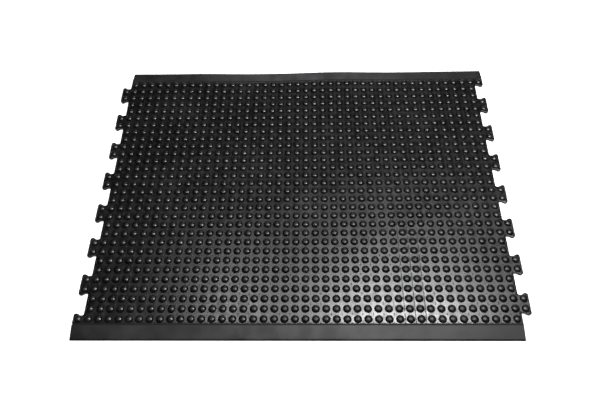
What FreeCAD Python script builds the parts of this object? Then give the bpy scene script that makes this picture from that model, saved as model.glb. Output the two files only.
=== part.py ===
"""Rubber anti fatigue mat with hollow bubbles, jigsaw tabs on two sides and bonded edge ramps.

Units are millimetres. The middle of the mat stands on the origin, X runs along the long side,
+Y points to the back and +Z up. The pattern turns into itself when the mat is turned half a turn
about Z, so one side's tabs and one ramp are drawn and the others are the same pieces turned round.
"""
import math
import os

import FreeCAD
import Part

Vector = FreeCAD.Vector

# Bubble field
PITCH = 27.3
COLUMNS = 42
ROWS = 30

# Moulded sheet and its bubbles
WEB = 8.5
BUBBLE_FOOT_RADIUS = 10.9
FLANK_HEIGHT = 2.7
CROWN_RADIUS = 9.4
CROWN_HEIGHT = 2.8
CELL_RADIUS = 10.0

# Jigsaw tabs: one every four rows, each two bubbles wide
TAB_STEP_ROWS = 4
TAB_UNDERCUT = 5.2
FLANK_CLEARANCE = 0.8
HEAD_CLEARANCE = 0.6
FLANK_CURVE_LENGTH = 14.0
ROOT_FLARE_LENGTH = 5.0
ROOT_FLARE_ANGLE = 60.0
CUT_CORNER_RADIUS = 4.0

# Edge ramps
RAMP_RUN = 40.5
RAMP_CREST = 9.0
RAMP_SHOULDER = 3.5
RAMP_TOE = 1.5
TOE_RUN = 5.0
SEAM_CHAMFER = 1.0

# Sizes worked out from the ones above
HALF_LENGTH = COLUMNS * PITCH / 2
HALF_WIDTH = ROWS * PITCH / 2
TAB_COUNT = (ROWS + 2) // TAB_STEP_ROWS
TAB_DEPTH = PITCH - HEAD_CLEARANCE
TAB_ROOT_HALF = (2 * PITCH - FLANK_CLEARANCE - TAB_UNDERCUT) / 2
TAB_HEAD_HALF = TAB_ROOT_HALF + TAB_UNDERCUT
FLANK_CURVE_START = (PITCH - FLANK_CURVE_LENGTH) / 2
HEAD_CORNER_RADIUS = TAB_DEPTH - FLANK_CURVE_START - FLANK_CURVE_LENGTH
SHOULDER_Z = WEB + FLANK_HEIGHT
CROWN_SPHERE_RADIUS = (CROWN_RADIUS ** 2 + CROWN_HEIGHT ** 2) / (2 * CROWN_HEIGHT)
CROWN_SPHERE_Z = SHOULDER_Z + CROWN_HEIGHT - CROWN_SPHERE_RADIUS


class Outline:
    """A flat outline walked step by step: every bend starts where the last step ended."""

    def __init__(self, x, y, heading):
        self.start = Vector(x, y, 0)
        self.place = self.start
        self.heading = heading
        self.edges = []

    def ahead(self, turn=0.0):
        angle = math.radians(self.heading + turn)
        return Vector(math.cos(angle), math.sin(angle), 0)

    def line(self, length):
        end = self.place + self.ahead() * length
        self.edges.append(Part.LineSegment(self.place, end).toShape())
        self.place = end

    def bend(self, radius, turn):
        chord = 2 * radius * math.sin(math.radians(abs(turn) / 2))
        half_chord = 2 * radius * math.sin(math.radians(abs(turn) / 4))
        middle = self.place + self.ahead(turn / 4) * half_chord
        end = self.place + self.ahead(turn / 2) * chord
        self.edges.append(Part.Arc(self.place, middle, end).toShape())
        self.place = end
        self.heading += turn

    def walk(self, steps):
        for name, *sizes in steps:
            getattr(self, name)(*sizes)

    def face(self):
        self.edges.append(Part.LineSegment(self.place, self.start).toShape())
        return Part.Face(Part.Wire(self.edges))


def spot(column, row):
    """Middle of a bubble: columns count from the left, rows from the back."""
    return Vector((column + 0.5) * PITCH - HALF_LENGTH, HALF_WIDTH - (row + 0.5) * PITCH, 0)


def half_turn(shape):
    """The same piece on the opposite side of the mat."""
    turned = shape.copy()
    turned.rotate(Vector(), Vector(0, 0, 1), 180)
    return turned


def bubble():
    """A bubble open at its foot: a steep round flank with a low spherical crown."""
    flank = Part.makeCone(BUBBLE_FOOT_RADIUS, CROWN_RADIUS, FLANK_HEIGHT, Vector(0, 0, WEB))
    lowest = math.degrees(math.asin((SHOULDER_Z - CROWN_SPHERE_Z) / CROWN_SPHERE_RADIUS))
    middle = Vector(0, 0, CROWN_SPHERE_Z)
    crown = Part.makeSphere(CROWN_SPHERE_RADIUS, middle, Vector(0, 0, 1), lowest, 90, 360)
    whole = flank.fuse(crown).removeSplitter()
    return Part.Shell([face for face in whole.Faces if not isinstance(face.Surface, Part.Plane)])


def air_cell():
    """The hemispherical roof of the cell under a bubble."""
    ball = Part.makeSphere(CELL_RADIUS, Vector(), Vector(0, 0, 1), 0, 90, 360)
    return Part.Shell([face for face in ball.Faces if isinstance(face.Surface, Part.Sphere)])


def rim(dome):
    """The round lowest edge of a dome, as a wire."""
    foot = dome.BoundBox.ZMin
    sound = [edge for edge in dome.Edges if not edge.Degenerated]
    return Part.Wire([edge for edge in sound if edge.BoundBox.ZMax - foot < 1e-4])


def level_face(plate, z, upward):
    """The flat face of a plate that lies at a height."""
    wanted = 1 if upward else -1
    for face in plate.Faces:
        level = abs(face.BoundBox.ZMin - z) + abs(face.BoundBox.ZMax - z) < 1e-4
        if level and face.normalAt(0, 0).z * wanted > 0.9:
            return face
    raise ValueError("the plate has no level face there")


def pierced(face, domes):
    """A level face with a round hole under every dome, sharing the rims of the domes."""
    flat = Part.Plane(face.CenterOfMass, Vector(0, 0, 1))
    boundary = face.OuterWire
    if face.normalAt(0, 0).z < 0:
        boundary = boundary.reversed()
    holes = [rim(dome).reversed() for dome in domes]
    return Part.Face(flat, [boundary] + holes)


def bubbled(plate, spots):
    """Turn a plate into moulded rubber: a bubble over every spot and an air cell under it."""
    top = level_face(plate, WEB, True)
    bottom = level_face(plate, 0, False)
    sides = [face for face in plate.Faces if not face.isSame(top) and not face.isSame(bottom)]
    one_bubble = bubble()
    one_cell = air_cell()
    bubbles = [one_bubble.translated(place) for place in spots]
    cells = [one_cell.translated(place) for place in spots]
    floor = pierced(bottom, cells).reversed()
    skins = [face for dome in bubbles for face in dome.Faces]
    roofs = [face.reversed() for dome in cells for face in dome.Faces]
    return Part.Solid(Part.Shell(sides + [pierced(top, bubbles), floor] + skins + roofs))


def seam_groove(y, inward):
    """Wedge that breaks the upper edge of the sheet along a ramp's seam."""
    corner = Vector(-HALF_LENGTH - PITCH, y, WEB)
    below = corner - Vector(0, 0, SEAM_CHAMFER)
    behind = corner + Vector(0, inward * SEAM_CHAMFER, 0)
    wedge = Part.Face(Part.makePolygon([corner, below, behind, corner]))
    return wedge.extrude(Vector(2 * (HALF_LENGTH + PITCH), 0, 0))


def bubble_sheet():
    """The body of the mat between its tabs and ramps."""
    size = (2 * HALF_LENGTH, 2 * HALF_WIDTH, WEB)
    plate = Part.makeBox(*size, Vector(-HALF_LENGTH, -HALF_WIDTH, 0))
    grooves = [seam_groove(HALF_WIDTH, -1), seam_groove(-HALF_WIDTH, 1)]
    spots = [spot(column, row) for row in range(ROWS) for column in range(COLUMNS)]
    return bubbled(plate.cut(grooves), spots)


def flank_steps():
    """The side of a tab from its root to its widest place: a flare, then an S of two arcs."""
    flare_radius = ROOT_FLARE_LENGTH / math.sin(math.radians(ROOT_FLARE_ANGLE))
    run = FLANK_CURVE_LENGTH / 2
    rise = TAB_UNDERCUT / 2
    curve_radius = (run ** 2 + rise ** 2) / (2 * rise)
    slope = math.degrees(math.asin(run / curve_radius))
    return [
        ("bend", flare_radius, -ROOT_FLARE_ANGLE),
        ("line", FLANK_CURVE_START - ROOT_FLARE_LENGTH),
        ("bend", curve_radius, -slope),
        ("bend", curve_radius, slope),
    ]


def right_tab(number):
    """A tab on the right edge, counted from the back; the first is cut in half by the seam."""
    middle_y = HALF_WIDTH - number * TAB_STEP_ROWS * PITCH
    flare = ROOT_FLARE_LENGTH * math.tan(math.radians(ROOT_FLARE_ANGLE / 2))
    straight = TAB_HEAD_HALF - HEAD_CORNER_RADIUS
    corner = ("bend", HEAD_CORNER_RADIUS, 90)
    flank = flank_steps()
    outline = Outline(HALF_LENGTH, middle_y - TAB_ROOT_HALF - flare, ROOT_FLARE_ANGLE)
    outline.walk(flank + [corner])
    if number == 0:
        outline.walk([("line", straight - CUT_CORNER_RADIUS), ("bend", CUT_CORNER_RADIUS, 90)])
        outline.walk([("line", TAB_DEPTH - CUT_CORNER_RADIUS)])
        rows = [0]
    else:
        outline.walk([("line", 2 * straight), corner] + flank[::-1])
        rows = [number * TAB_STEP_ROWS - 1, number * TAB_STEP_ROWS]
    plate = outline.face().extrude(Vector(0, 0, WEB))
    if number == 0:
        plate = plate.cut(seam_groove(HALF_WIDTH, -1))
    return bubbled(plate, [spot(COLUMNS, row) for row in rows])


def front_ramp():
    """Bevelled strip along the front, from the heads of the left tabs to the right body edge."""
    profile = [
        (0, 0),
        (0, RAMP_CREST - SEAM_CHAMFER),
        (SEAM_CHAMFER, RAMP_CREST),
        (RAMP_RUN - TOE_RUN, RAMP_SHOULDER),
        (RAMP_RUN, RAMP_TOE),
        (RAMP_RUN, 0),
        (0, 0),
    ]
    left_end = -HALF_LENGTH - TAB_DEPTH
    points = [Vector(left_end, -HALF_WIDTH - out, height) for out, height in profile]
    section = Part.Face(Part.makePolygon(points))
    return section.extrude(Vector(HALF_LENGTH - left_end, 0, 0))


def save(name, shape):
    shape.exportStep(f"parts/{name}.step")


def main():
    os.makedirs("parts", exist_ok=True)
    save("bubble_sheet", bubble_sheet())
    for number in range(TAB_COUNT):
        tab = right_tab(number)
        save(f"right_tab_{number + 1}", tab)
        save(f"left_tab_{TAB_COUNT - number}", half_turn(tab))
    ramp = front_ramp()
    save("front_ramp", ramp)
    save("rear_ramp", half_turn(ramp))


main()
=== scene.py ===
"""Rubber anti fatigue mat: a moulded sheet of hollow bubbles with jigsaw tabs and two edge ramps."""

import logging
import math
from dataclasses import dataclass
from enum import Enum

import bmesh
import bpy
from mathutils import Matrix, Quaternion, Vector


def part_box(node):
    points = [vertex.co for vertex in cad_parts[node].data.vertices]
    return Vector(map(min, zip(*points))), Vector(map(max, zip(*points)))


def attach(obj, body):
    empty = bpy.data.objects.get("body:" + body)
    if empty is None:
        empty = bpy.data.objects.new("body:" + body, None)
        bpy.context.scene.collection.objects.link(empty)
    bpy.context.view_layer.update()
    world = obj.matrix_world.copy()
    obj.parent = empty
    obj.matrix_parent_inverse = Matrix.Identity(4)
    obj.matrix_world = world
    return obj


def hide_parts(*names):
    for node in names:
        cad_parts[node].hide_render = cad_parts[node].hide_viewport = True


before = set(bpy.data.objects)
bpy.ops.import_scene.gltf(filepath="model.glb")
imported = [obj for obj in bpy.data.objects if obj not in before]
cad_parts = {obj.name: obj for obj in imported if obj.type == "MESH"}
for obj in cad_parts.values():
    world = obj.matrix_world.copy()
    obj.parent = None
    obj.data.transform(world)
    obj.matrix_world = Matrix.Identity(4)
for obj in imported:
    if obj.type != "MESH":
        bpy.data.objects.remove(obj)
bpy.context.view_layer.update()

LOG = logging.getLogger("mat")
UP = Vector((0, 0, 1))
HALF_TURN = Matrix.Rotation(math.pi, 4, "Z")

# In metres: vertices this close become one, and vertices this close to a level are on it.
MERGE_WITHIN = 3e-5
LEVEL_SLACK = 1e-5


# ---------------------------------------------------------------- sizes


@dataclass(frozen=True)
class MatSizes:
    """Sizes of the moulding in metres, its angle in degrees and its counts."""

    half_length: float
    half_width: float
    tab_depth: float
    tab_head_half: float
    columns: int = 42
    rows: int = 30
    web: float = 0.0085
    tab_step_rows: int = 4
    tabs_per_half: int = 4
    tab_undercut: float = 0.0052
    flank_curve: float = 0.014
    flare_angle: float = 60.0
    cut_corner: float = 0.004
    rim_round: float = 0.0008

    @classmethod
    def from_frame(cls) -> "MatSizes":
        """Read what the CAD frame holds.

        Returns:
            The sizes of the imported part.
        """
        sheet_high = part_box("bubble_sheet")[1]
        tab_low, tab_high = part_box("right_tab_2")
        return cls(
            half_length=sheet_high[0],
            half_width=sheet_high[1],
            tab_depth=tab_high[0] - sheet_high[0],
            tab_head_half=(tab_high[1] - tab_low[1]) / 2,
        )

    @property
    def pitch(self) -> float:
        """Step from one bubble to the next."""
        return 2 * self.half_length / self.columns

    @property
    def tab_root_half(self) -> float:
        """Half the width of a tab behind its head."""
        return self.tab_head_half - self.tab_undercut


@dataclass(frozen=True)
class DomeProfile:
    """A dome as rings of a radius and a rise, from its foot to the ring under its crown."""

    rings: tuple[tuple[float, float], ...]
    crown: float
    sides: int = 16


BUBBLE = DomeProfile(
    rings=((0.0111, 0.0), (0.0105, 0.0017), (0.0082, 0.0037), (0.0042, 0.0050)),
    crown=0.0055,
)
AIR_CELL = DomeProfile(rings=((0.0100, 0.0), (0.0087, 0.0050), (0.0050, 0.0087)), crown=0.0100)


# ---------------------------------------------------------------- how the mat lies


@dataclass(frozen=True)
class Swell:
    """A low rise where the rubber doesn't touch the floor."""

    x: float
    y: float
    reach_x: float
    reach_y: float
    height: float

    def rise(self, x: float, y: float) -> float:
        """Height of the swell at a place.

        Args:
            x: place along the mat.
            y: place across the mat.

        Returns:
            The rise in metres.
        """
        away = ((x - self.x) / self.reach_x) ** 2 + ((y - self.y) / self.reach_y) ** 2
        return self.height * math.exp(-away)


@dataclass(frozen=True)
class Crease:
    """A fold line along a gap between two columns of bubbles."""

    x: float
    y_from: float
    y_to: float
    half_width: float = 0.002
    depth: float = 0.0004

    def rise(self, x: float, y: float) -> float:
        """Height of the crease at a place, which is below zero.

        Args:
            x: place along the mat.
            y: place across the mat.

        Returns:
            The rise in metres.
        """
        if not self.y_from <= y <= self.y_to:
            return 0.0
        return -self.depth * max(0.0, 1 - abs(x - self.x) / self.half_width)


@dataclass(frozen=True)
class Lie:
    """How the free mat lies on the floor."""

    swells: tuple[Swell, ...]
    creases: tuple[Crease, ...]

    def settle(self, mesh: bmesh.types.BMesh, web: float | None = None) -> None:
        """Lift a finished mesh, and fold it along its web.

        Args:
            mesh: the mesh, flat on the floor.
            web: level of the upper face between the bubbles, where there are any.
        """
        for vert in mesh.verts:
            x, y, z = vert.co
            vert.co.z += sum(swell.rise(x, y) for swell in self.swells)
            if web is not None and abs(z - web) < LEVEL_SLACK:
                vert.co.z += sum(crease.rise(x, y) for crease in self.creases)

    @classmethod
    def of(cls, sizes: MatSizes) -> "Lie":
        """The lie of a mat that has been rolled up before.

        Args:
            sizes: sizes of the mat.

        Returns:
            Its swells and creases.
        """
        swells = (
            Swell(x=-0.60, y=0.45, reach_x=0.30, reach_y=0.22, height=0.0065),
            Swell(x=-0.33, y=0.46, reach_x=0.09, reach_y=0.08, height=0.0022),
            Swell(x=0.11, y=0.46, reach_x=0.13, reach_y=0.14, height=0.0055),
            Swell(x=0.60, y=0.42, reach_x=0.20, reach_y=0.12, height=0.0015),
        )
        seam_gap = 0.002
        creases = tuple(
            Crease(column * sizes.pitch, seam_gap - sizes.half_width, y_to)
            for column, y_to in ((10, 0.03), (11, -0.02), (12, -0.05))
        )
        return cls(swells, creases)


# ---------------------------------------------------------------- mesh tools


class RimPen:
    """Draws a flat rim of short edges: each step starts where the last one ended."""

    def __init__(self, mesh: bmesh.types.BMesh, start: Vector, heading: float) -> None:
        """Put the pen down.

        Args:
            mesh: the mesh to draw in.
            start: where the rim starts.
            heading: first direction, in degrees from X.
        """
        self.mesh = mesh
        self.heading = heading
        self.tip = bmesh.ops.create_vert(mesh, co=start)["vert"][0]

    def ahead(self) -> Vector:
        """Find the way ahead.

        Returns:
            A unit vector along the heading.
        """
        angle = math.radians(self.heading)
        return Vector((math.cos(angle), math.sin(angle), 0))

    def line(self, length: float) -> None:
        """Draw straight on.

        Args:
            length: how far.
        """
        grown = bmesh.ops.extrude_vert_indiv(self.mesh, verts=[self.tip])
        self.tip = grown["verts"][0]
        self.tip.co += self.ahead() * length

    def bend(self, radius: float, turn: float, parts: int) -> None:
        """Draw an arc.

        Args:
            radius: its radius.
            turn: how far it turns, in degrees, positive to the left.
            parts: how many edges it has.
        """
        side = UP.cross(self.ahead()) * math.copysign(radius, turn)
        spun = bmesh.ops.spin(
            self.mesh,
            geom=[self.tip],
            cent=self.tip.co + side,
            axis=UP,
            angle=math.radians(turn),
            steps=parts,
        )
        self.tip = next(item for item in spun["geom_last"] if isinstance(item, bmesh.types.BMVert))
        self.heading += turn


def moved_copy(mesh: bmesh.types.BMesh, geometry: list, step: Vector) -> list:
    """Copy geometry by a step.

    Args:
        mesh: the mesh that holds it.
        geometry: vertices, edges and faces.
        step: how far the copy moves.

    Returns:
        The copy's geometry.
    """
    copied = bmesh.ops.duplicate(mesh, geom=geometry)["geom"]
    verts = [item for item in copied if isinstance(item, bmesh.types.BMVert)]
    bmesh.ops.translate(mesh, verts=verts, vec=step)
    return copied


def raise_dome(mesh: bmesh.types.BMesh, profile: DomeProfile, centre: Vector) -> list:
    """Build a dome ring by ring and close it at its crown.

    Args:
        mesh: the mesh to build in.
        profile: the rings.
        centre: middle of the foot.

    Returns:
        The edges of the foot ring.
    """
    place = Matrix.Translation(centre)
    radius = profile.rings[0][0]
    ring = bmesh.ops.create_circle(mesh, segments=profile.sides, radius=radius, matrix=place)["verts"]
    foot = list({edge for vert in ring for edge in vert.link_edges})
    edges = foot
    rise = 0.0
    for next_radius, next_rise in profile.rings[1:] + ((0.0, profile.crown),):
        grown = bmesh.ops.extrude_edge_only(mesh, edges=edges)["geom"]
        verts = [item for item in grown if isinstance(item, bmesh.types.BMVert)]
        edges = [item for item in grown if isinstance(item, bmesh.types.BMEdge)]
        bmesh.ops.translate(mesh, verts=verts, vec=UP * (next_rise - rise))
        if next_radius > 0:
            share = next_radius / radius
            bmesh.ops.scale(mesh, verts=verts, vec=(share, share, 1), space=place.inverted())
            radius = next_radius
        else:
            bmesh.ops.pointmerge(mesh, verts=verts, merge_co=centre + UP * profile.crown)
        rise = next_rise
    return foot


def round_off(mesh: bmesh.types.BMesh, edges: list[bmesh.types.BMEdge], width: float) -> None:
    """Round some edges of a mesh.

    Args:
        mesh: the mesh.
        edges: its edges that are rounded.
        width: how far the rounding reaches to each side.
    """
    bmesh.ops.bevel(
        mesh,
        geom=edges,
        offset=width,
        segments=2,
        profile=0.5,
        affect="EDGES",
        material=-1,
        clamp_overlap=True,
    )


def finish_piece(mesh: bmesh.types.BMesh, name: str, sharp_from: float) -> bpy.types.Object:
    """Turn a mesh into a piece with smooth faces and crisp corners.

    Args:
        mesh: the finished mesh, which is freed.
        name: the piece's name.
        sharp_from: angle from which an edge stays crisp, in degrees.

    Returns:
        The piece.
    """
    for face in mesh.faces:
        face.smooth = True
    limit = math.radians(sharp_from)
    for edge in mesh.edges:
        edge.smooth = edge.is_manifold and edge.calc_face_angle() < limit
    data = bpy.data.meshes.new(name)
    mesh.to_mesh(data)
    mesh.free()
    piece = bpy.data.objects.new(name, data)
    bpy.context.scene.collection.objects.link(piece)
    LOG.info("%s has %d faces", name, len(data.polygons))
    return piece


# ---------------------------------------------------------------- the moulded sheet


class Half(Enum):
    """Which half of the moulding a piece is; the front one is the rear one turned round."""

    REAR = "rear"
    FRONT = "front"


@dataclass
class BubbleSheet:
    """The moulding: bubble field, air cells and jigsaw tabs."""

    sizes: MatSizes
    lie: Lie
    corner_parts: int = 5
    curve_parts: int = 4
    sharp_from: float = 38.0

    def build(self, half: Half) -> bpy.types.Object:
        """Build one half of the moulding.

        Args:
            half: which half.

        Returns:
            The piece.
        """
        mesh = bmesh.new()
        for profile, level in ((AIR_CELL, 0.0), (BUBBLE, self.sizes.web)):
            face = self.skin(profile, level)
            mesh.from_mesh(face)
            bpy.data.meshes.remove(face)
        self.walls(mesh)
        self.round_rim(mesh)
        if half is Half.FRONT:
            bmesh.ops.transform(mesh, matrix=HALF_TURN, verts=mesh.verts)
        self.lie.settle(mesh, self.sizes.web)
        return finish_piece(mesh, f"sheet_{half.value}_half", self.sharp_from)

    def skin(self, profile: DomeProfile, level: float) -> bpy.types.Mesh:
        """Build the upper or lower face of the rear half, tabs included.

        Args:
            profile: the domes that stand on the face.
            level: height of the face.

        Returns:
            The face as a mesh.
        """
        mesh = self.field(profile, level)
        sizes = self.sizes
        step = sizes.tab_step_rows * sizes.pitch
        for number in range(sizes.tabs_per_half):
            right = Vector((sizes.half_length, sizes.half_width - number * step, level))
            left = Vector((sizes.half_length, -sizes.pitch - number * step, level))
            for middle, turn in ((right, Matrix.Identity(4)), (left, HALF_TURN)):
                tab = self.tab(profile, middle)
                tab.transform(turn)
                mesh.from_mesh(tab)
                bpy.data.meshes.remove(tab)
        bmesh.ops.remove_doubles(mesh, verts=mesh.verts, dist=MERGE_WITHIN)
        data = bpy.data.meshes.new("skin")
        mesh.to_mesh(data)
        mesh.free()
        return data

    def field(self, profile: DomeProfile, level: float) -> bmesh.types.BMesh:
        """Build the square cells of the rear half, each with its dome.

        Args:
            profile: the domes.
            level: height of the face between them.

        Returns:
            The mesh.
        """
        mesh = bmesh.new()
        pitch = self.sizes.pitch
        centre = Vector((pitch / 2 - self.sizes.half_length, pitch / 2, level))
        foot = raise_dome(mesh, profile, centre)
        grown = bmesh.ops.extrude_edge_only(mesh, edges=foot)["geom"]
        for vert in (item for item in grown if isinstance(item, bmesh.types.BMVert)):
            out = vert.co - centre
            vert.co = centre + out * (pitch / 2 / max(abs(out.x), abs(out.y)))
        cell = mesh.verts[:] + mesh.edges[:] + mesh.faces[:]
        row = list(cell)
        for column in range(1, self.sizes.columns):
            row += moved_copy(mesh, cell, Vector((column * pitch, 0, 0)))
        for number in range(1, self.sizes.rows // 2):
            moved_copy(mesh, row, Vector((0, number * pitch, 0)))
        return mesh

    def tab(self, profile: DomeProfile, middle: Vector) -> bpy.types.Mesh:
        """Build one face of a tab on the right edge.

        Args:
            profile: the domes that stand on the face.
            middle: middle of the tab's root; the rear seam cuts a tab in half.

        Returns:
            The face as a mesh.
        """
        mesh = bmesh.new()
        sizes = self.sizes
        pitch = sizes.pitch
        whole = middle.y + pitch / 2 < sizes.half_width
        corner = sizes.tab_depth - (pitch + sizes.flank_curve) / 2
        straight = sizes.tab_head_half - corner
        pen = RimPen(mesh, middle - Vector((0, pitch, 0)), sizes.flare_angle)
        self.flank(pen, inward=False)
        pen.bend(corner, 90, self.corner_parts)
        if whole:
            pen.line(2 * straight)
            pen.bend(corner, 90, self.corner_parts)
            self.flank(pen, inward=True)
        else:
            pen.line(straight - sizes.cut_corner)
            pen.bend(sizes.cut_corner, 90, self.curve_parts)
            pen.line(sizes.tab_depth - sizes.cut_corner)
        pen.heading = 270
        near = math.tan(math.tau / profile.sides) * pitch / 2
        bubbles = (pitch / 2, -pitch / 2) if whole else (-pitch / 2,)
        for offset in bubbles:
            for length in (pitch / 2 - near, near, near, pitch / 2 - near):
                pen.line(length)
            raise_dome(mesh, profile, middle + Vector((pitch / 2, offset, 0)))
        bmesh.ops.remove_doubles(mesh, verts=mesh.verts, dist=MERGE_WITHIN)
        border = [edge for edge in mesh.edges if len(edge.link_faces) < 2]
        bmesh.ops.triangle_fill(mesh, use_beauty=True, edges=border, normal=UP)
        data = bpy.data.meshes.new("tab")
        mesh.to_mesh(data)
        mesh.free()
        return data

    def flank(self, pen: RimPen, inward: bool) -> None:
        """Draw a tab's side: a root flare and an S of two arcs.

        Args:
            pen: the pen, at the flank's first end.
            inward: whether it is drawn from the head to the root.
        """
        sizes = self.sizes
        parts = self.curve_parts
        flare = 2 * (sizes.pitch - sizes.tab_root_half)
        run = sizes.flank_curve / 2
        rise = sizes.tab_undercut / 2
        curve = (run**2 + rise**2) / (2 * rise)
        slope = math.degrees(math.asin(run / curve))
        land = sizes.pitch / 2 - run - flare * math.sin(math.radians(sizes.flare_angle))
        if inward:
            pen.bend(curve, slope, parts)
            pen.bend(curve, -slope, parts)
            pen.line(land)
            pen.bend(flare, -sizes.flare_angle, parts)
        else:
            pen.bend(flare, -sizes.flare_angle, parts)
            pen.line(land)
            pen.bend(curve, -slope, parts)
            pen.bend(curve, slope, parts)

    def walls(self, mesh: bmesh.types.BMesh) -> None:
        """Close the upper and lower face with walls; they share one outline.

        Args:
            mesh: the mesh that holds both faces.
        """
        level = self.sizes.web
        upper = [edge for edge in mesh.edges if edge.is_boundary and edge.verts[0].co.z > level / 2]
        grown = bmesh.ops.extrude_edge_only(mesh, edges=upper)["geom"]
        feet = [item for item in grown if isinstance(item, bmesh.types.BMVert)]
        bmesh.ops.translate(mesh, verts=feet, vec=UP * -level)
        bmesh.ops.remove_doubles(mesh, verts=mesh.verts, dist=MERGE_WITHIN)
        bmesh.ops.recalc_face_normals(mesh, faces=mesh.faces)

    def round_rim(self, mesh: bmesh.types.BMesh) -> None:
        """Round the upper rim all along, except where the two halves are one.

        Args:
            mesh: the closed moulding.
        """
        level = self.sizes.web
        upright = 0.01
        rim = []
        for edge in mesh.edges:
            flat = all(abs(vert.co.z - level) < LEVEL_SLACK for vert in edge.verts)
            middle = all(abs(vert.co.y) < LEVEL_SLACK for vert in edge.verts)
            walled = any(abs(face.normal.z) < upright for face in edge.link_faces)
            if flat and walled and not middle:
                rim.append(edge)
        round_off(mesh, rim, self.sizes.rim_round)


# ---------------------------------------------------------------- edge ramps


@dataclass
class EdgeRamp:
    """A bevelled strip bonded along a long edge."""

    sizes: MatSizes
    lie: Lie
    shoulder: float = 0.0035
    toe: float = 0.0015
    toe_run: float = 0.005
    edge_round: float = 0.0009
    rounded_from: float = 35.0
    sharp_from: float = 12.0
    parts: int = 86

    def build(self, half: Half) -> bpy.types.Object:
        """Build the strip of one half.

        Args:
            half: the half that it is bonded to.

        Returns:
            The piece.
        """
        low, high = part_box("front_ramp")
        mesh = bmesh.new()
        corners = (
            (high[1], 0.0),
            (high[1], high[2]),
            (low[1] + self.toe_run, self.shoulder),
            (low[1], self.toe),
            (low[1], 0.0),
        )
        verts = [mesh.verts.new((low[0], y, z)) for y, z in corners]
        section = mesh.faces.new(verts)
        length = high[0] - low[0]
        grown = bmesh.ops.extrude_face_region(mesh, geom=[section])["geom"]
        moved = [item for item in grown if isinstance(item, bmesh.types.BMVert)]
        bmesh.ops.translate(mesh, verts=moved, vec=(length, 0, 0))
        bmesh.ops.recalc_face_normals(mesh, faces=mesh.faces)
        self.round_edges(mesh)
        along = [edge for edge in mesh.edges if edge.calc_length() > length / 2]
        bmesh.ops.subdivide_edges(mesh, edges=along, cuts=self.parts - 1, use_grid_fill=True)
        if half is Half.REAR:
            bmesh.ops.transform(mesh, matrix=HALF_TURN, verts=mesh.verts)
        self.lie.settle(mesh)
        return finish_piece(mesh, f"ramp_{half.value}", self.sharp_from)

    def round_edges(self, mesh: bmesh.types.BMesh) -> None:
        """Round every sharp edge of the strip that doesn't reach the floor.

        Args:
            mesh: the strip's closed mesh.
        """
        limit = math.radians(self.rounded_from)
        outer = [
            edge
            for edge in mesh.edges
            if edge.calc_face_angle() > limit
            and min(vert.co.z for vert in edge.verts) > LEVEL_SLACK
        ]
        round_off(mesh, outer, self.edge_round)


# ---------------------------------------------------------------- finishes


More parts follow.
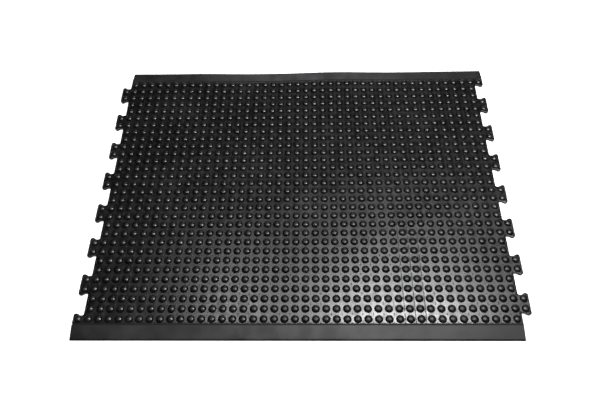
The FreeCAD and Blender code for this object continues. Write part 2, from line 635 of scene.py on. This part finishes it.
class Tree:
    """Small helper that adds and joins the nodes of one shader tree."""

    def __init__(self, tree: bpy.types.NodeTree) -> None:
        """Take a tree to work in.

        Args:
            tree: the tree.
        """
        self.tree = tree

    def add(self, kind: str, **settings: object) -> bpy.types.Node:
        """Add a node.

        Args:
            kind: its type name without the ShaderNode prefix.
            settings: attributes to set on it.

        Returns:
            The node.
        """
        node = self.tree.nodes.new(kind if kind.startswith("NodeGroup") else f"ShaderNode{kind}")
        for key, value in settings.items():
            setattr(node, key, value)
        return node

    def feed(self, socket: bpy.types.NodeSocket, value: object) -> None:
        """Give a socket a value, or join another socket to it.

        Args:
            socket: the socket.
            value: a plain value or the other socket.
        """
        if isinstance(value, bpy.types.NodeSocket):
            self.tree.links.new(value, socket)
        else:
            socket.default_value = value

    def math(self, operation: str, *values: object, clamp: bool = False) -> bpy.types.NodeSocket:
        """Add a Math node.

        Args:
            operation: what it works out.
            values: its inputs, as numbers or sockets.
            clamp: whether its result stays between 0 and 1.

        Returns:
            Its output.
        """
        node = self.add("Math", operation=operation, use_clamp=clamp)
        for socket, value in zip(node.inputs, values):
            self.feed(socket, value)
        return node.outputs[0]

    def product(self, first: bpy.types.NodeSocket, *others: object) -> bpy.types.NodeSocket:
        """Multiply values, two at a time.

        Args:
            first: the first of them.
            others: the rest, as numbers or sockets.

        Returns:
            Their product.
        """
        result = first
        for value in others:
            result = self.math("MULTIPLY", result, value)
        return result

    def mix(self, share: object, low: object, high: object) -> bpy.types.NodeSocket:
        """Blend two colours.

        Args:
            share: how much of the second there is, from 0 to 1.
            low: the first colour, as a socket or as its red, green and blue.
            high: the second colour, likewise.

        Returns:
            The blend.
        """
        node = self.add("Mix", data_type="RGBA")
        for index, value in ((0, share), (6, low), (7, high)):
            self.feed(node.inputs[index], (*value, 1) if isinstance(value, tuple) else value)
        return node.outputs[2]

    def axes(self, vector: bpy.types.NodeSocket) -> bpy.types.NodeOutputs:
        """Split a vector.

        Args:
            vector: the vector.

        Returns:
            Its X, Y and Z by name.
        """
        node = self.add("SeparateXYZ")
        self.feed(node.inputs[0], vector)
        return node.outputs

    def ramp(self, value: bpy.types.NodeSocket, low: float, high: float) -> bpy.types.NodeSocket:
        """Map a range to 0 to 1 with soft ends.

        Args:
            value: what is mapped.
            low: the value that becomes 0.
            high: the value that becomes 1.

        Returns:
            The mapped value.
        """
        node = self.add("MapRange", interpolation_type="SMOOTHSTEP")
        for name, setting in (("Value", value), ("From Min", low), ("From Max", high)):
            self.feed(node.inputs[name], setting)
        return node.outputs["Result"]

    def noise(self, place: bpy.types.NodeSocket, scale: object, detail: float) -> bpy.types.NodeSocket:
        """Add a Noise Texture.

        Args:
            place: where it is read.
            scale: features in a metre.
            detail: how many finer layers it has.

        Returns:
            Its value.
        """
        node = self.add("TexNoise")
        for name, setting in (("Vector", place), ("Scale", scale), ("Detail", detail)):
            self.feed(node.inputs[name], setting)
        return node.outputs["Fac"]

    def stretched_noise(
        self, place: bpy.types.NodeSocket, scale: tuple[float, float, float], detail: float
    ) -> bpy.types.NodeSocket:
        """Add a Noise Texture that is stretched along an axis.

        Args:
            place: where it is read.
            scale: features in a metre along each axis.
            detail: how many finer layers it has.

        Returns:
            Its value.
        """
        mapping = self.add("Mapping")
        self.feed(mapping.inputs["Vector"], place)
        mapping.inputs["Scale"].default_value = scale
        return self.noise(mapping.outputs["Vector"], scale=1.0, detail=detail)

    def group(self, name: str, place: bpy.types.NodeSocket, **values: float) -> dict:
        """Add a shared group.

        Args:
            name: the group's name.
            place: what its Vector reads.
            values: its other inputs.

        Returns:
            Its outputs by name.
        """
        node = self.add("Group", node_tree=bpy.data.node_groups[name])
        self.feed(node.inputs["Vector"], place)
        for key, value in values.items():
            self.feed(node.inputs[key], value)
        return {socket.name: socket for socket in node.outputs}


def facing_up(tree: Tree) -> bpy.types.NodeSocket:
    """Work out how far the surface faces up.

    Args:
        tree: the tree to work in.

    Returns:
        The Z of the surface normal.
    """
    return tree.axes(tree.add("NewGeometry").outputs["Normal"])["Z"]


def new_group(name: str, inputs: tuple[str, ...], outputs: tuple[str, ...]) -> tuple:
    """Start a shader node group that reads a Vector.

    Args:
        name: its name.
        inputs: names of its other inputs, which are numbers.
        outputs: names of its outputs, which are numbers.

    Returns:
        Its tree helper, its input node's outputs and its output node's inputs.
    """
    group = bpy.data.node_groups.new(name, "ShaderNodeTree")
    group.interface.new_socket(name="Vector", in_out="INPUT", socket_type="NodeSocketVector")
    for way, sockets in (("INPUT", inputs), ("OUTPUT", outputs)):
        for socket in sockets:
            group.interface.new_socket(name=socket, in_out=way, socket_type="NodeSocketFloat")
    tree = Tree(group)
    return tree, tree.add("NodeGroupInput").outputs, tree.add("NodeGroupOutput").inputs


def rubber_grain() -> None:
    """Make the group for moulded rubber's pores and mottling: a Height for bumps and a Mottle mask."""
    tree, given, made = new_group("rubber_grain", ("Pores", "Clouds"), ("Height", "Mottle"))
    pores = tree.noise(given["Vector"], scale=given["Pores"], detail=3)
    clouds = tree.noise(given["Vector"], scale=given["Clouds"], detail=4)
    share = 0.5
    height = tree.math("MULTIPLY_ADD", clouds, share, tree.product(pores, share))
    tree.feed(made["Height"], height)
    tree.feed(made["Mottle"], tree.ramp(clouds, low=0.35, high=0.68))


def handling_marks() -> None:
    """Make the group for what stacking, rolling and feet leave: a Dust mask and a Rubbed mask."""
    tree, given, made = new_group("handling_marks", ("Size", "Amount"), ("Dust", "Rubbed"))
    place = given["Vector"]
    patches = tree.ramp(tree.noise(place, scale=given["Size"], detail=5), low=0.45, high=0.75)
    specks = tree.ramp(tree.noise(place, scale=900, detail=2), low=0.62, high=0.74)
    upward = tree.ramp(facing_up(tree), low=0.6, high=1.0)
    speck_share = 0.6
    speckled = tree.math("MULTIPLY_ADD", specks, speck_share, 1 - speck_share)
    tree.feed(made["Dust"], tree.product(speckled, patches, upward, given["Amount"]))
    tree.feed(made["Rubbed"], tree.product(patches, given["Amount"]))


@dataclass(frozen=True)
class RubberFinish:
    """Black rubber, with what its surface shows at each scale."""

    name: str
    dark: tuple[float, float, float]
    light: tuple[float, float, float]
    dust: tuple[float, float, float]
    roughness: float
    roughness_swing: float
    pores: float
    clouds: float
    marks: float
    grain_depth: float
    marks_scale: float = 6.0
    specular: float = 0.5
    rubbed_dullness: float = 0.06
    # Painted shade: the darker colour laid into the grooves, vent marks and fold lines.
    painted_shade: tuple[float, float, float] = (0.004, 0.004, 0.004)
    groove_dullness: float = 0.35
    groove_reach: float = 0.0027
    groove_core: float = 0.0016

    def start(self) -> tuple[Tree, bpy.types.Node, bpy.types.NodeSocket, bpy.types.Material]:
        """Make the material with its shader.

        Returns:
            The tree helper, the Principled shader, the Object coordinates and the material.
        """
        material = bpy.data.materials.new(self.name)
        material.use_nodes = True
        material.node_tree.nodes.clear()
        tree = Tree(material.node_tree)
        shader = tree.add("BsdfPrincipled")
        output = tree.add("OutputMaterial")
        tree.feed(output.inputs["Surface"], shader.outputs["BSDF"])
        shader.inputs["Specular IOR Level"].default_value = self.specular
        place = tree.add("TexCoord").outputs["Object"]
        return tree, shader, place, material

    def base(self, tree: Tree, place: bpy.types.NodeSocket) -> tuple[bpy.types.NodeSocket, ...]:
        """Work out what every rubber face shares.

        Args:
            tree: the material's tree.
            place: the Object coordinates.

        Returns:
            Colour, roughness and grain height.
        """
        grain = tree.group("rubber_grain", place, Pores=self.pores, Clouds=self.clouds)
        marks = tree.group("handling_marks", place, Size=self.marks_scale, Amount=self.marks)
        plain = tree.mix(grain["Mottle"], self.dark, self.light)
        colour = tree.mix(marks["Dust"], plain, self.dust)
        swing = tree.math("MULTIPLY_ADD", grain["Mottle"], self.roughness_swing, self.roughness)
        roughness = tree.math("MULTIPLY_ADD", marks["Rubbed"], self.rubbed_dullness, swing)
        return colour, roughness, grain["Height"]

    def seam(self, tree: Tree, across: bpy.types.NodeSocket, seam_at: float) -> bpy.types.NodeSocket:
        """Mask for the painted shade and duller rubber in the grooves where the ramps are bonded on.

        Args:
            tree: the material's tree.
            across: the Object coordinate across the long edges.
            seam_at: how far from the middle the grooves are.

        Returns:
            The mask.
        """
        off = tree.math("SUBTRACT", tree.math("ABSOLUTE", across), seam_at)
        return tree.ramp(tree.math("ABSOLUTE", off), low=self.groove_reach, high=self.groove_core)

    def bump(self, tree: Tree, height: bpy.types.NodeSocket) -> bpy.types.NodeSocket:
        """Turn a height into a normal.

        Args:
            tree: the material's tree.
            height: the height, as a share of the grain's depth.

        Returns:
            The normal.
        """
        node = tree.add("Bump")
        node.inputs["Strength"].default_value = 1.0
        node.inputs["Distance"].default_value = self.grain_depth
        tree.feed(node.inputs["Height"], height)
        return node.outputs["Normal"]


@dataclass(frozen=True)
class SheetFinish(RubberFinish):
    """The moulding's finish: sunk marks at the mould's vents where four bubbles meet, and fold lines, both
    with painted shade.
    """

    crown_reach: float = 0.0056
    crown_core: float = 0.0026
    crown_dullness: float = 0.10
    crown_shade: float = 0.16
    vent_half_width: float = 0.0012
    vent_half_length: float = 0.0040
    mark_depth: float = 3.0
    folds_from: float = 0.25
    folds_to: float = 0.34

    def build(self, sizes: MatSizes) -> bpy.types.Material:
        """Make the material.

        Args:
            sizes: sizes of the mat that it covers.

        Returns:
            The material.
        """
        tree, shader, place, material = self.start()
        colour, roughness, height = self.base(tree, place)
        axes = tree.axes(place)
        half = sizes.pitch / 2
        across = tree.math("PINGPONG", axes["X"], half)
        along = tree.math("PINGPONG", axes["Y"], half)
        level = tree.ramp(facing_up(tree), low=0.9, high=0.99)
        # Painted shade at the vent marks, which are also sunk and duller.
        vent_and_shade = self.vent_and_shade(tree, place, across, along)
        # Painted shade along the fold lines, which are also sunk and duller.
        fold = self.fold(tree, place, axes, across)
        marks = tree.product(tree.math("MAXIMUM", vent_and_shade, fold), level)
        # Painted shade: where the grooves, vent marks and fold lines are, the colour turns darker.
        mark_and_shade = tree.math("MAXIMUM", marks, self.seam(tree, axes["Y"], sizes.half_width))
        tree.feed(shader.inputs["Base Color"], tree.mix(mark_and_shade, colour, self.painted_shade))
        crown = self.crown(tree, half, across, along)
        specular = tree.math("MULTIPLY_ADD", crown, -self.crown_shade, self.specular)
        tree.feed(shader.inputs["Specular IOR Level"], specular)
        duller = tree.math("MULTIPLY_ADD", crown, self.crown_dullness, roughness)
        worn = tree.math("MULTIPLY_ADD", mark_and_shade, self.groove_dullness, duller, clamp=True)
        tree.feed(shader.inputs["Roughness"], worn)
        sunk = tree.math("MULTIPLY_ADD", mark_and_shade, -self.mark_depth, height)
        tree.feed(shader.inputs["Normal"], self.bump(tree, sunk))
        return material

    def crown(self, tree: Tree, half: float, across: object, along: object) -> bpy.types.NodeSocket:
        """The tops of the bubbles, which feet have worn dull.

        Args:
            tree: the material's tree.
            half: half the pitch.
            across: distance in X from the nearest gap between columns.
            along: distance in Y from the nearest gap between rows.

        Returns:
            The mask.
        """
        squares = [
            tree.math("POWER", tree.math("SUBTRACT", half, distance), 2.0)
            for distance in (across, along)
        ]
        away = tree.math("SQRT", tree.math("ADD", *squares))
        return tree.ramp(away, low=self.crown_reach, high=self.crown_core)

    def vent_and_shade(self, tree: Tree, place: object, across: object, along: object) -> bpy.types.NodeSocket:
        """Short sunk marks left by the mould's vents, some clearer than others; their dark is painted
        shade.

        Args:
            tree: the material's tree.
            place: the Object coordinates.
            across: distance in X from the nearest gap between columns.
            along: distance in Y from the nearest gap between rows.

        Returns:
            The mask.
        """
        wide = tree.math("POWER", tree.math("DIVIDE", across, self.vent_half_width), 2.0)
        long = tree.math("POWER", tree.math("DIVIDE", along, self.vent_half_length), 2.0)
        spot = tree.ramp(tree.math("ADD", wide, long), low=1.0, high=0.3)
        chance = tree.ramp(tree.noise(place, scale=22, detail=2), low=0.46, high=0.58)
        return tree.product(spot, chance)

    def fold(self, tree: Tree, place: object, axes: object, across: object) -> bpy.types.NodeSocket:
        """Fine cracked lines along the folds; their dark is painted shade.

        Args:
            tree: the material's tree.
            place: the Object coordinates.
            axes: their X, Y and Z by name.
            across: distance in X from the nearest gap between columns.

        Returns:
            The mask.
        """
        line = tree.ramp(across, low=0.0012, high=0.0005)
        right = tree.math("GREATER_THAN", axes["X"], self.folds_from)
        left = tree.math("LESS_THAN", axes["X"], self.folds_to)
        front = tree.ramp(axes["Y"], low=0.0, high=-0.06)
        broken = tree.ramp(tree.noise(place, scale=160, detail=3), low=0.36, high=0.50)
        return tree.product(line, tree.product(right, left, front), broken)


@dataclass(frozen=True)
class StripFinish(RubberFinish):
    """The ramps' finish: faint drag lines along the strip and smears where feet step on it."""

    smear: tuple[float, float, float] = (0.030, 0.029, 0.033)
    smear_gloss: float = 0.04
    smear_scale: tuple[float, float, float] = (18.0, 14.0, 14.0)
    worn_reach: float = 0.55
    drag_scale: tuple[float, float, float] = (1.5, 260.0, 260.0)
    drag_dullness: float = 0.08

    def build(self, sizes: MatSizes) -> bpy.types.Material:
        """Make the material.

        Args:
            sizes: sizes of the mat that the strips are bonded to.

        Returns:
            The material.
        """
        tree, shader, place, material = self.start()
        colour, roughness, height = self.base(tree, place)
        drag = tree.stretched_noise(place, self.drag_scale, detail=3)
        axes = tree.axes(place)
        stepped_on = tree.ramp(tree.math("ABSOLUTE", axes["X"]), low=self.worn_reach, high=0.0)
        patches = tree.stretched_noise(place, self.smear_scale, detail=4)
        smear = tree.product(tree.ramp(patches, low=0.36, high=0.64), stepped_on)
        seam = self.seam(tree, axes["Y"], sizes.half_width)
        smeared = tree.mix(smear, colour, self.smear)
        # Painted shade: the groove along the bonded edge takes a darker colour.
        tree.feed(shader.inputs["Base Color"], tree.mix(seam, smeared, self.painted_shade))
        streaked = tree.math("MULTIPLY_ADD", smear, -self.smear_gloss, roughness)
        dirty = tree.math("MULTIPLY_ADD", seam, self.groove_dullness, streaked)
        dragged = tree.math("MULTIPLY_ADD", drag, self.drag_dullness, dirty, clamp=True)
        tree.feed(shader.inputs["Roughness"], dragged)
        tree.feed(shader.inputs["Normal"], self.bump(tree, tree.math("ADD", height, drag)))
        return material


SHEET_RUBBER = SheetFinish(
    name="sheet_rubber",
    dark=(0.0020, 0.0020, 0.0022),
    light=(0.0055, 0.0055, 0.0060),
    dust=(0.09, 0.088, 0.085),
    roughness=0.265,
    roughness_swing=0.09,
    pores=1600.0,
    clouds=70.0,
    marks=0.20,
    grain_depth=0.00006,
)
STRIP_RUBBER = StripFinish(
    name="ramp_rubber",
    dark=(0.0040, 0.0040, 0.0046),
    light=(0.0090, 0.0088, 0.0105),
    dust=(0.10, 0.098, 0.095),
    roughness=0.40,
    roughness_swing=0.08,
    pores=1300.0,
    clouds=30.0,
    marks=0.35,
    grain_depth=0.00005,
)


# ---------------------------------------------------------------- studio


@dataclass(frozen=True)
class Softbox:
    """An oblong lamp that points at a place."""

    name: str
    place: tuple[float, float, float]
    target: tuple[float, float, float]
    size: tuple[float, float]
    watts: float

    def build(self) -> None:
        """Hang the lamp."""
        lamp = bpy.data.lights.new(self.name, "AREA")
        lamp.shape = "RECTANGLE"
        lamp.size, lamp.size_y = self.size
        lamp.energy = self.watts
        holder = bpy.data.objects.new(self.name, lamp)
        holder.location = self.place
        way = Vector(self.target) - Vector(self.place)
        holder.rotation_euler = way.to_track_quat("-Z", "Y").to_euler()
        bpy.context.scene.collection.objects.link(holder)


@dataclass
class Studio:
    """Floor, light and camera."""

    camera_place: tuple[float, float, float] = (0.0363, -0.7326, 1.2963)
    camera_target: tuple[float, float, float] = (-0.003, -0.0395, 0.0)
    camera_roll: float = -3.24
    lens: float = 29.85
    sensor_width: float = 36.0
    clip_end: float = 50.0
    floor_reach: float = 8.0
    floor_shade: float = 0.86
    floor_glow: float = 0.8
    ambient: float = 0.03
    lamps: tuple[Softbox, ...] = (
        Softbox(
            "key_softbox", place=(0.68, 0.18, 2.5), target=(0.68, 0.18, 0.0), size=(1.00, 0.50), watts=76.0
        ),
        Softbox(
            "left_strip", place=(-0.55, 0.30, 2.5), target=(-0.55, 0.30, 0.0), size=(0.35, 0.60), watts=13.0
        ),
        Softbox(
            "back_window", place=(0.30, 4.00, 2.40), target=(0.0, 0.0, 0.0), size=(2.20, 1.00), watts=18.0
        ),
    )

    def build(self) -> None:
        """Set the whole studio up."""
        self.floor()
        self.world()
        self.camera()
        for lamp in self.lamps:
            lamp.build()
        bpy.context.scene.view_settings.view_transform = "Standard"

    def floor(self) -> None:
        """Lay a wide pale floor that looks white to the camera and keeps the shadow."""
        mesh = bmesh.new()
        bmesh.ops.create_grid(mesh, x_segments=1, y_segments=1, size=self.floor_reach)
        data = bpy.data.meshes.new("floor")
        mesh.to_mesh(data)
        mesh.free()
        floor = bpy.data.objects.new("floor", data)
        bpy.context.scene.collection.objects.link(floor)
        material = bpy.data.materials.new("pale_floor")
        material.use_nodes = True
        material.node_tree.nodes.clear()
        tree = Tree(material.node_tree)
        paint = tree.add("BsdfDiffuse")
        paint.inputs["Color"].default_value = (*[self.floor_shade] * 3, 1)
        glow = tree.add("Emission")
        seen = tree.add("LightPath").outputs["Is Camera Ray"]
        tree.feed(glow.inputs["Strength"], tree.product(seen, self.floor_glow))
        both = tree.add("AddShader")
        tree.feed(both.inputs[0], paint.outputs[0])
        tree.feed(both.inputs[1], glow.outputs[0])
        tree.feed(tree.add("OutputMaterial").inputs["Surface"], both.outputs[0])
        data.materials.append(material)

    def world(self) -> None:
        """Plain surroundings: white to the camera, dim to everything else."""
        world = bpy.data.worlds.new("studio")
        world.use_nodes = True
        world.node_tree.nodes.clear()
        tree = Tree(world.node_tree)
        seen = tree.add("LightPath").outputs["Is Camera Ray"]
        strength = tree.math("MULTIPLY_ADD", seen, 1 - self.ambient, self.ambient)
        around = tree.add("Background")
        tree.feed(around.inputs["Strength"], strength)
        around.inputs["Color"].default_value = (1, 1, 1, 1)
        tree.feed(tree.add("OutputWorld").inputs["Surface"], around.outputs[0])
        bpy.context.scene.world = world

    def camera(self) -> None:
        """Stand the camera in front of the mat, looking down at it."""
        data = bpy.data.cameras.new("camera")
        data.lens = self.lens
        data.sensor_width = self.sensor_width
        data.clip_end = self.clip_end
        camera = bpy.data.objects.new("camera", data)
        camera.location = self.camera_place
        way = Vector(self.camera_target) - Vector(self.camera_place)
        roll = Quaternion((0, 0, 1), math.radians(self.camera_roll))
        camera.rotation_euler = (way.to_track_quat("-Z", "Y") @ roll).to_euler()
        bpy.context.scene.collection.objects.link(camera)
        bpy.context.scene.camera = camera


# ---------------------------------------------------------------- making it


def dress(piece: bpy.types.Object, material: bpy.types.Material, nodes: list[str]) -> None:
    """Give a piece its finish, body and CAD nodes.

    Args:
        piece: the piece.
        material: its finish.
        nodes: the CAD nodes that it stands for.
    """
    piece.data.materials.append(material)
    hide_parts(*nodes)
    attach(piece, "root")
    LOG.info("%s stands for %s", piece.name, ", ".join(nodes))


def main() -> None:
    """Build the mat in its studio."""
    logging.basicConfig(level=logging.INFO, format="%(name)s: %(message)s")
    Studio().build()
    rubber_grain()
    handling_marks()
    sizes = MatSizes.from_frame()
    lie = Lie.of(sizes)
    sheet_rubber = SHEET_RUBBER.build(sizes)
    strip_rubber = STRIP_RUBBER.build(sizes)
    sheet = BubbleSheet(sizes, lie)
    tabs = sizes.tabs_per_half
    for half, first in ((Half.REAR, 1), (Half.FRONT, 1 + tabs)):
        numbers = range(first, first + tabs)
        nodes = [f"{side}_tab_{number}" for side in ("left", "right") for number in numbers]
        dress(sheet.build(half), sheet_rubber, ["bubble_sheet", *nodes])
    ramp = EdgeRamp(sizes, lie)
    for half in Half:
        dress(ramp.build(half), strip_rubber, [f"{half.value}_ramp"])


if __name__ == "__main__":
    main()
